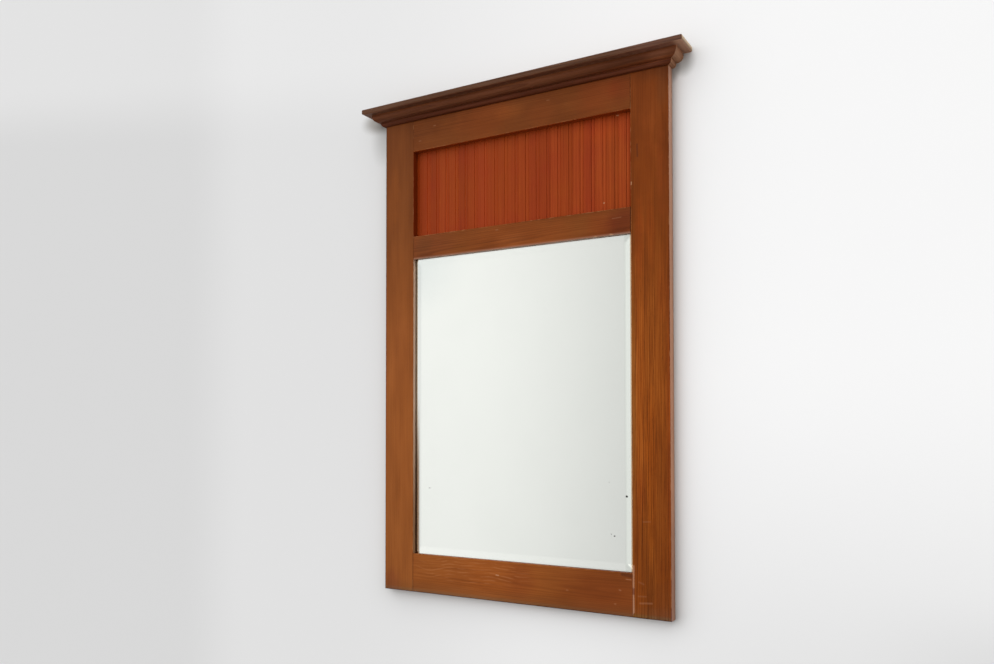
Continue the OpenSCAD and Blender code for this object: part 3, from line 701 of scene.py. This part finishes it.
def make_cornice():
    """Darker oak for the cap board and the mouldings under it."""
    cap = ((58, 36, 26), (92, 60, 42), (116, 84, 64))
    crown = ((60, 28, 14), (104, 58, 34), (130, 80, 54))
    bead = ((54, 23, 10), (92, 44, 23), (116, 64, 42))
    # Painted light: the right-hand returns are painted paler, as faces turned to the right look lit
    lit_from_right = ((110, 70, 46), (162, 114, 84), (184, 138, 106))
    parts = [
        ("cap_board", "X", 70.0, cap),
        ("crown_front", "X", 55.0, crown),
        ("bead_front", "X", 40.0, bead),
        ("crown_left_return", "Y", 55.0, crown),
        ("crown_right_return", "Y", 55.0, lit_from_right),
        ("bead_left_return", "Y", 40.0, bead),
        ("bead_right_return", "Y", 40.0, lit_from_right),
    ]
    for seed, (node, run, centre, tones) in enumerate(parts, start=11):
        layers = [patched(PATCHES[node])] if node in PATCHES else []
        layers += EXTRA_LAYERS.get(node, [])
        dress([node], oak(f"smoked_oak_{node}", run, (40.0, 30.0), seed, tones, centre, layers=layers))


def make_fillets():
    """Sawn oak for the fillets that hold the slats."""
    sawn = ((96, 66, 40), (140, 104, 68), (170, 134, 94))
    sides = [("top", "X"), ("bottom", "X"), ("left", "Z"), ("right", "Z")]
    for seed, (side, run) in enumerate(sides, start=31):
        node = f"panel_fillet_{side}"
        dress([node], oak(f"sawn_oak_{node}", run, (30.0, 30.0), seed, sawn, contrast=0.8))


def red_slats():
    """Red-orange stain on beaded slats. Each slat takes its own tone from its place in the row."""
    look = Look("red_stain")
    place = x, y, z = look.place()
    number = look.math("FLOOR", look.scaled(x, 1 / SLAT_PITCH, -FIRST_JOINT / SLAT_PITCH))
    own, other = look.chance(number), look.chance(look.plus(number, 40.0))
    shifted = look.plus(x, look.scaled(own, 900.0))
    early, pores, fibre = grain(look, (z, shifted, y), (0.0, 60.0), 21, ring=2.6, lean=0.02, wander=6.0)
    streak = look.noise((shifted, y, z), (0.3, 0.3, 0.004), 3.0, 0.6)
    figure = look.plus(look.spread(streak, 0.6), look.spread(fibre, 0.3), look.scaled(early, -0.16, 0.03),
                       look.scaled(pores, -0.2, 0.03))
    figure = look.times(figure, look.scaled(look.step(x, -120.0, 240.0), 0.4, 0.6))
    value = look.plus(0.47, look.spread(own, 0.14), figure)
    red = look.ramp(value, ((104, 28, 6), (149, 54, 18), (178, 76, 32)))
    orange = look.ramp(value, ((100, 36, 2), (150, 63, 14), (180, 86, 28)))
    patch = look.noise(place, (0.012, 0, 0.009), 3.0, 0.6)
    share = look.math("ADD", look.scaled(other, 0.4), look.scaled(patch, 1.6, -0.6), clamp=True)
    colour = look.mix(share, red, orange)

    # The joints on the left are painted lighter, a painted lift of the shade in their grooves, and two spots
    # are chipped
    lifted_grooves = look.times(look.step(y, Y_SLAT + 0.25, Y_SLAT + 0.9), look.step(x, 180.0, -160.0))
    colour = look.tint(lifted_grooves, colour, (1.35, 1.32, 1.25))
    for start, end in [((233.0, -252.0), (235.0, -252.0)), ((268.0, -49.5), (271.0, -49.5))]:
        colour = look.mix(look.scaled(look.stroke(x, z, start, end, 4.0), 0.5), colour, srgb(*BARE))
    # The right end of the row is painted brighter and warmer; near the top this is painted light, where the
    # recess is less shaded
    for centre, radii, factors in [((230.0, -60.0), (90.0, 70.0), (1.10, 1.06, 1.04)),
                                   ((248.0, -165.0), (62.0, 150.0), (1.10, 1.22, 1.32))]:
        colour = look.tint(look.dab(x, z, centre, radii, core=0.3), colour, factors)

    # Backs were left raw
    raw = look.turned(*BACK)
    bare_wood = look.ramp(value, ((112, 82, 54), (154, 122, 86), (184, 152, 114)), (0.1, 0.5, 0.9))
    colour = look.mix(raw, colour, bare_wood)
    rough = look.plus(0.4, look.scaled(streak, 0.14), look.scaled(pores, 0.2), look.scaled(raw, 0.25))
    height = look.plus(look.scaled(pores, -0.06), look.scaled(fibre, 0.04), look.scaled(streak, 0.05))
    return varnished(look, colour, rough, height)


def pine():
    """Raw softwood, stained by age."""
    look = Look("raw_pine")
    place = x, y, z = look.place()
    early, _, fibre = grain(look, (z, x, y), (40.0, 60.0), 41, ring=4.5, lean=0.01, wander=30.0)
    stain = look.noise(place, (0.006, 0.006, 0.006), 5.0, 0.65)
    value = look.plus(0.55, look.scaled(early, -0.3), look.spread(fibre, 0.3), look.spread(stain, 0.7))
    colour = look.ramp(value, ((118, 84, 50), (176, 138, 92), (206, 174, 128)), (0.1, 0.5, 0.95))
    height = look.plus(look.scaled(fibre, 0.08), look.scaled(early, -0.03))
    return look.finish(look.shader({
        "Base Color": colour,
        "Roughness": look.scaled(fibre, 0.2, 0.62),
        "Specular IOR Level": 0.2,
        "Normal": look.bump(height),
    }))


def metal(name, dark, bright, rough):
    """Old metal: bright where it is rubbed, dull and darker in patches."""
    look = Look(name)
    place = look.place()
    patch = look.noise(place, (0.16, 0.16, 0.16), 5.0, 0.7)
    fine = look.noise(place, (1.2, 1.2, 1.2), 3.0, 0.6)
    dull = look.step(look.plus(patch, look.spread(fine, 0.3)), 0.4, 0.62)
    return look.finish(look.shader({
        "Base Color": look.mix(dull, srgb(*bright), srgb(*dark)),
        "Metallic": look.scaled(dull, -0.25, 1.0),
        "Roughness": look.plus(rough, look.scaled(dull, 0.25), look.scaled(fine, 0.08)),
        "Normal": look.bump(look.plus(look.scaled(fine, 0.03), look.scaled(patch, 0.05))),
    }))


def plate_glass():
    """Old plate glass, a little wavy, with a haze left by wiping."""
    look = Look("bevelled_glass")
    place = look.place()
    haze = look.step(look.noise(place, (0.006, 0.01, 0.016), 5.0, 0.65), 0.55, 0.85)
    waves = look.noise(place, (0.008, 0, 0.008), 1.0)
    return look.finish(look.shader({
        "Base Color": (0.978, 0.99, 0.974, 1),
        "Roughness": look.scaled(haze, 0.05, 0.005),
        "IOR": 1.52,
        "Transmission Weight": 1.0,
        "Normal": look.bump(look.scaled(waves, 0.02)),
    }))


# Specks where the silver has gone: centre, radii and strength
SPECKS = [
    ((290.5, -942.0), (3.4, 3.2), 1.0),
    ((260.0, -1035.0), (2.4, 2.2), 1.0),
    ((-262.0, -941.5), (4.0, 1.6), 0.4),
    ((252.0, -1031.0), (1.6, 1.6), 0.6),
]


def silvering():
    """Silver with toned and stained margins, a painted cream reflection of the frame along both margins,
    specks where it has gone, and brown paint on its back.
    """
    look = Look("old_silvering")
    place = x, _, z = look.place()
    ragged = look.noise(place, (0.5, 0, 0.5), 4.0, 0.7)
    rim = look.spread(ragged, 0.9)
    specks = look.either(*(look.times(look.dab(x, z, centre, radii, rim), strength)
                           for centre, radii, strength in SPECKS))
    # Small specks, in few of the pattern's cells
    dots = look.add("ShaderNodeTexVoronoi", {"Vector": look.cells(place, (0.02, 0, 0.02)), "Scale": 1.0})
    few = look.chance(look.math("FLOOR", look.scaled(look.split(dots.outputs["Color"])[0], 1000.0)))
    small = look.times(look.step(dots.outputs["Distance"], 0.022, 0.012), look.step(few, 0.86, 0.9))
    specks = look.either(specks, look.scaled(small, 0.6))

    bloom = look.noise(place, (0.004, 0, 0.004), 4.0, 0.6)
    bright, bloomed = (0.962, 0.972, 0.938, 1), (0.945, 0.957, 0.922, 1)
    silver = look.mix(look.step(bloom, 0.4, 0.75), bright, bloomed)
    upper_left = look.dab(x, z, (-330.0, -330.0), (210.0, 190.0), core=0.15)
    right_bevel = look.times(look.step(x, 284.0, 290.0), look.step(x, 304.0, 297.0))
    # Painted reflection: a cream tint along both margins stands in for the frame's reveal seen in the edge
    margin_reflection = look.step(look.math("ABSOLUTE", x), 299.5, 302.5)
    left_margin = look.step(x, -300.5, -304.0)
    left_stain = look.times(look.step(x, -292.5, -298.5), look.step(z, -640.0, -930.0))
    right_margin = look.step(x, 300.0, 302.0)
    for share, factors in [
        (upper_left, (0.89, 0.91, 0.92)),
        (right_bevel, (0.90, 0.915, 0.90)),
        (margin_reflection, (1.0, 0.93, 0.80)),
        (left_margin, (0.46, 0.42, 0.40)),
        (left_stain, (0.36, 0.24, 0.16)),
        (right_margin, (0.62, 0.48, 0.38)),
    ]:
        silver = look.tint(share, silver, factors)
    colour = look.mix(specks, silver, srgb(48, 44, 40))

    back = look.turned("Y", 0.3, 0.6)
    paint = look.mix(ragged, srgb(92, 52, 34), srgb(120, 76, 52))
    dull = look.either(specks, back)
    return look.finish(look.shader({
        "Base Color": look.mix(back, colour, paint),
        "Metallic": look.scaled(dull, -1.0, 1.0),
        "Roughness": look.plus(0.008, look.scaled(dull, 0.5)),
        "Normal": look.bump(look.times(back, look.scaled(ragged, 0.05))),
    }))


def slab(name, low, high):
    """A closed box between two corners."""
    mesh = bpy.data.meshes.new(name)
    form = bmesh.new()
    bmesh.ops.create_cube(form, size=1)
    low, high = Vector(low), Vector(high)
    for vertex in form.verts:
        vertex.co = [a + (b - a) * (c + 0.5) for a, b, c in zip(low, high, vertex.co)]
    form.to_mesh(mesh)
    form.free()
    piece = bpy.data.objects.new(name, mesh)
    bpy.context.scene.collection.objects.link(piece)
    return piece


def make_plate():
    """Glass for the plate, and a thin film of silver inside it, close to its back."""
    dress(["mirror_plate"], plate_glass())
    low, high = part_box("mirror_plate")
    # How far the film keeps from the plate's edges and from its back, and its thickness
    inset, skin, film = 0.0006, 0.00002, 0.00004
    silver = slab("mirror_silvering", (low.x + inset, high.y - skin - film, low.z + inset),
                  (high.x - inset, high.y - skin, high.z - inset))
    silver.data.materials.append(silvering())
    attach(silver, "mirror_frame")


def make_metals():
    """Dull steel for screws and brads, and brass for the hangers."""
    dress(["cap_screws", "fillet_brads", "backboard_screws", "hanger_screws"],
          metal("dull_steel", (92, 86, 80), (164, 160, 154), 0.34))
    dress(["left_hanger_plate", "right_hanger_plate"],
          metal("dull_brass", (112, 82, 40), (188, 150, 84), 0.28))
    dress(["left_hanger_ring", "right_hanger_ring"],
          metal("rubbed_brass", (128, 96, 48), (204, 168, 96), 0.22))


def wall_shade(look, x, z):
    """Painted shadow on the wall close round the frame, deeper in the corners under the ends of the cornice.
    """
    aside = look.either(look.plus(look.math("ABSOLUTE", x), -OUTER), 0.0)
    beyond = look.either(look.plus(z, -Z_CAP), look.scaled(z, -1.3, 1.3 * Z_BOTTOM), 0.0)
    away = look.math("SQRT", look.plus(look.times(aside, aside), look.times(beyond, beyond)))

    def fading(reach):
        """1 at the frame, falling off over a reach in millimetres."""
        return look.math("EXPONENT", look.scaled(away, -1 / reach))

    near = look.times(fading(13.0), 0.42)
    wide = look.times(fading(38.0), look.scaled(look.step(x, 0.0, -390.0), 0.16, 0.06))
    touch = look.times(fading(9.0), look.step(x, -100.0, 100.0), 0.28)
    left = look.times(look.dab(x, z, (-416.0, 12.0), (70.0, 110.0), core=0.2), 0.5)
    right = look.times(look.dab(x, z, (424.0, 46.0), (38.0, 44.0), core=0.2), 0.8)
    return look.math("MINIMUM", look.either(look.plus(near, wide, touch), left, right), 1.0)


def end_shade(look, x, z):
    """Deeper painted shadow on the wall where it meets the two ends of the cornice."""
    left = look.dab(x, z, (-436.0, 68.0), (82.0, 42.0), core=0.35)
    right = look.times(look.dab(x, z, (402.0, 38.0), (22.0, 40.0), core=0.35), 0.75)
    return look.either(left, right)


def wall_paint():
    """Matt white wall. It is clear from behind, and lets light reach what lies against it."""
    look = Look("wall_paint")
    place = x, _, z = look.place()
    # Painted light on the wall: greyer towards the left, lighter high up and towards the right
    tone = look.mix(look.step(x, -1250.0, -950.0), grey(219), grey(228))
    lit = look.step(look.plus(z, look.scaled(x, 0.15)), -60.0, 190.0)
    tone = look.mix(look.times(lit, 0.3), tone, grey(252))
    tone = look.mix(look.step(x, -600.0, 700.0), tone, grey(251))
    # Painted shade: dimmer towards the lower right of the view, and not beyond it
    nearby = look.times(look.step(x, 2400.0, 1100.0), look.step(z, -2100.0, -1400.0))
    low = look.times(look.step(x, -100.0, 700.0), look.step(z, -600.0, -1450.0), nearby)
    tone = look.tint(low, tone, (0.82, 0.82, 0.82))
    lowest = look.times(look.step(x, 700.0, 1100.0), look.step(z, -1080.0, -1260.0), nearby)
    tone = look.tint(lowest, tone, (0.91, 0.91, 0.91))
    tone = look.tint(wall_shade(look, x, z), tone, (0.50, 0.50, 0.48))
    tone = look.tint(end_shade(look, x, z), tone, (0.49, 0.47, 0.44))
    mottle = look.noise(place, (0.004, 0, 0.004), 4.0, 0.6)
    tone = look.mix(look.scaled(mottle, 0.03), tone, srgb(200, 200, 198))
    nap = look.noise(place, (0.6, 0, 0.6), 2.0)
    matt = look.shader({
        "Base Color": tone,
        "Roughness": 0.85,
        "Specular IOR Level": 0.1,
        "Normal": look.bump(look.scaled(nap, 0.05)),
    })
    path = look.add("ShaderNodeLightPath")
    behind = look.add("ShaderNodeNewGeometry").outputs["Backfacing"]
    short = look.math("LESS_THAN", path.outputs["Ray Length"], 0.002)
    touching = look.times(short, look.scaled(path.outputs["Is Camera Ray"], -1.0, 1.0))
    return look.finish(look.blend(look.either(behind, touching), matt, look.clear()))


def floor_paint():
    """Pale floor. It doesn't throw light up onto the object."""
    look = Look("floor_paint")
    mottle = look.noise(look.place(), (0.003, 0.003, 0), 4.0, 0.6)
    matt = look.shader({
        "Base Color": look.mix(mottle, srgb(222, 221, 219), srgb(234, 233, 231)),
        "Roughness": look.scaled(mottle, 0.1, 0.7),
        "Specular IOR Level": 0.2,
        "Normal": look.bump(look.scaled(mottle, 0.05)),
    })
    path = look.add("ShaderNodeLightPath")
    passing = look.either(path.outputs["Is Diffuse Ray"], path.outputs["Is Shadow Ray"])
    return look.finish(look.blend(passing, matt, look.clear()))


def stage_sheet(name, corners, faces, material):
    mesh = bpy.data.meshes.new(name)
    mesh.from_pydata(corners, [], faces)
    mesh.materials.append(material)
    piece = bpy.data.objects.new(name, mesh)
    bpy.context.scene.collection.objects.link(piece)


def rectangle(half_wide, y, low, high):
    """The corners of an upright rectangle that faces the room."""
    return [(-half_wide, y, low), (half_wide, y, low), (half_wide, y, high), (-half_wide, y, high)]


def make_stage():
    """A floor, and a wall close behind the frame, with an opening there so that light reaches the back."""
    reach, top, floor, gap = 6.0, 4.0, -2.2, 0.0005
    # How far the frame laps over the opening's edges, in millimetres
    lap, top_lap = 8.0, 9.0
    opening = rectangle((OUTER - lap) / 1000, gap, (Z_BOTTOM + lap) / 1000, (Z_CAP - top_lap) / 1000)
    stage_sheet("wall", rectangle(reach, gap, floor, top) + opening,
                [(0, 1, 5, 4), (1, 2, 6, 5), (2, 3, 7, 6), (3, 0, 4, 7)], wall_paint())
    stage_sheet("floor", [(-reach, -reach, floor), (reach, -reach, floor), (reach, reach, floor),
                          (-reach, reach, floor)], [(0, 1, 2, 3)], floor_paint())


# The dome's strength, at which a pale face that looks at the room renders about as written
DOME = 1.17


def make_world():
    world = bpy.data.worlds.new("studio")
    bpy.context.scene.world = world
    look = Look("studio", world)
    x, _, z = look.split(look.add("ShaderNodeTexCoord").outputs["Generated"])
    # What the camera, glass and metal see: a pale room, brighter to the left and a little brighter above
    dim, bright = (0.637, 0.637, 0.637, 1), (0.96, 0.96, 0.96, 1)
    pale = look.mix(look.step(x, -0.26, -0.56), dim, bright)
    pale = look.tint(look.step(z, 0.25, -0.35), pale, (0.885, 0.885, 0.885))
    path = look.add("ShaderNodeLightPath")
    seen = look.either(path.outputs["Is Camera Ray"], path.outputs["Is Glossy Ray"],
                       path.outputs["Is Transmission Ray"])
    room = look.add("ShaderNodeBackground", {"Color": pale, "Strength": 1.0})
    # What lights the object: a soft dome, brighter to the upper left and dim from below
    graded = look.either(look.plus(look.scaled(x, -0.5), look.scaled(z, 0.45), 1.0), 0.0)
    graded = look.times(graded, look.scaled(look.step(z, -0.7, 0.0), 0.8, 0.2), DOME)
    light = look.add("ShaderNodeBackground", {"Color": (1.0, 1.0, 1.0, 1), "Strength": graded})
    both = look.blend(seen, light.outputs[0], room.outputs[0])
    look.add("ShaderNodeOutputWorld", {"Surface": both})


def make_lamp():
    """A soft lamp on the far side of the wall, which lights the back. The camera and glass don't show it."""
    data = bpy.data.lights.new("behind", "AREA")
    data.shape = "SQUARE"
    data.size = 2.2
    data.energy = 24
    lamp = bpy.data.objects.new("behind", data)
    at, toward = Vector((-1.2, 2.8, 0.4)), Vector((0, 0, -0.5))
    lamp.location = at
    lamp.rotation_euler = (toward - at).to_track_quat("-Z", "Y").to_euler()
    lamp.visible_camera = False
    lamp.visible_transmission = False
    bpy.context.scene.collection.objects.link(lamp)


def make_camera():
    """The photo's view. Its centre lies off the middle of the picture, so the lens is shifted."""
    data = bpy.data.cameras.new("view")
    data.sensor_width = 36
    data.lens = FOCAL_PX / VIEW_W * data.sensor_width
    data.shift_x = (VIEW_W / 2 - CENTRE_PX[0]) / VIEW_W
    data.shift_y = (CENTRE_PX[1] - VIEW_H / 2) / VIEW_W
    camera = bpy.data.objects.new("view", data)
    bpy.context.scene.collection.objects.link(camera)
    yaw, pitch, roll = (math.radians(angle) for angle in (YAW, PITCH, ROLL))
    ahead = Vector((-math.sin(yaw) * math.cos(pitch), math.cos(yaw) * math.cos(pitch), math.sin(pitch)))
    level = Vector((math.cos(yaw), math.sin(yaw), 0))
    above = level.cross(ahead)
    right = level * math.cos(roll) + above * math.sin(roll)
    up = above * math.cos(roll) - level * math.sin(roll)
    turn = Matrix((right, up, -ahead)).transposed().to_4x4()
    camera.matrix_world = Matrix.Translation(CAMERA_AT) @ turn
    bpy.context.scene.camera = camera


make_camera()
make_stage()
make_world()
make_lamp()
bpy.context.scene.view_settings.view_transform = "Standard"

make_members()
make_cornice()
make_fillets()
dress([f"panel_slat_{number}" for number in range(1, SLATS + 1)], red_slats())
dress(["plate_blocks", "backboard"], pine())
make_metals()
make_plate()
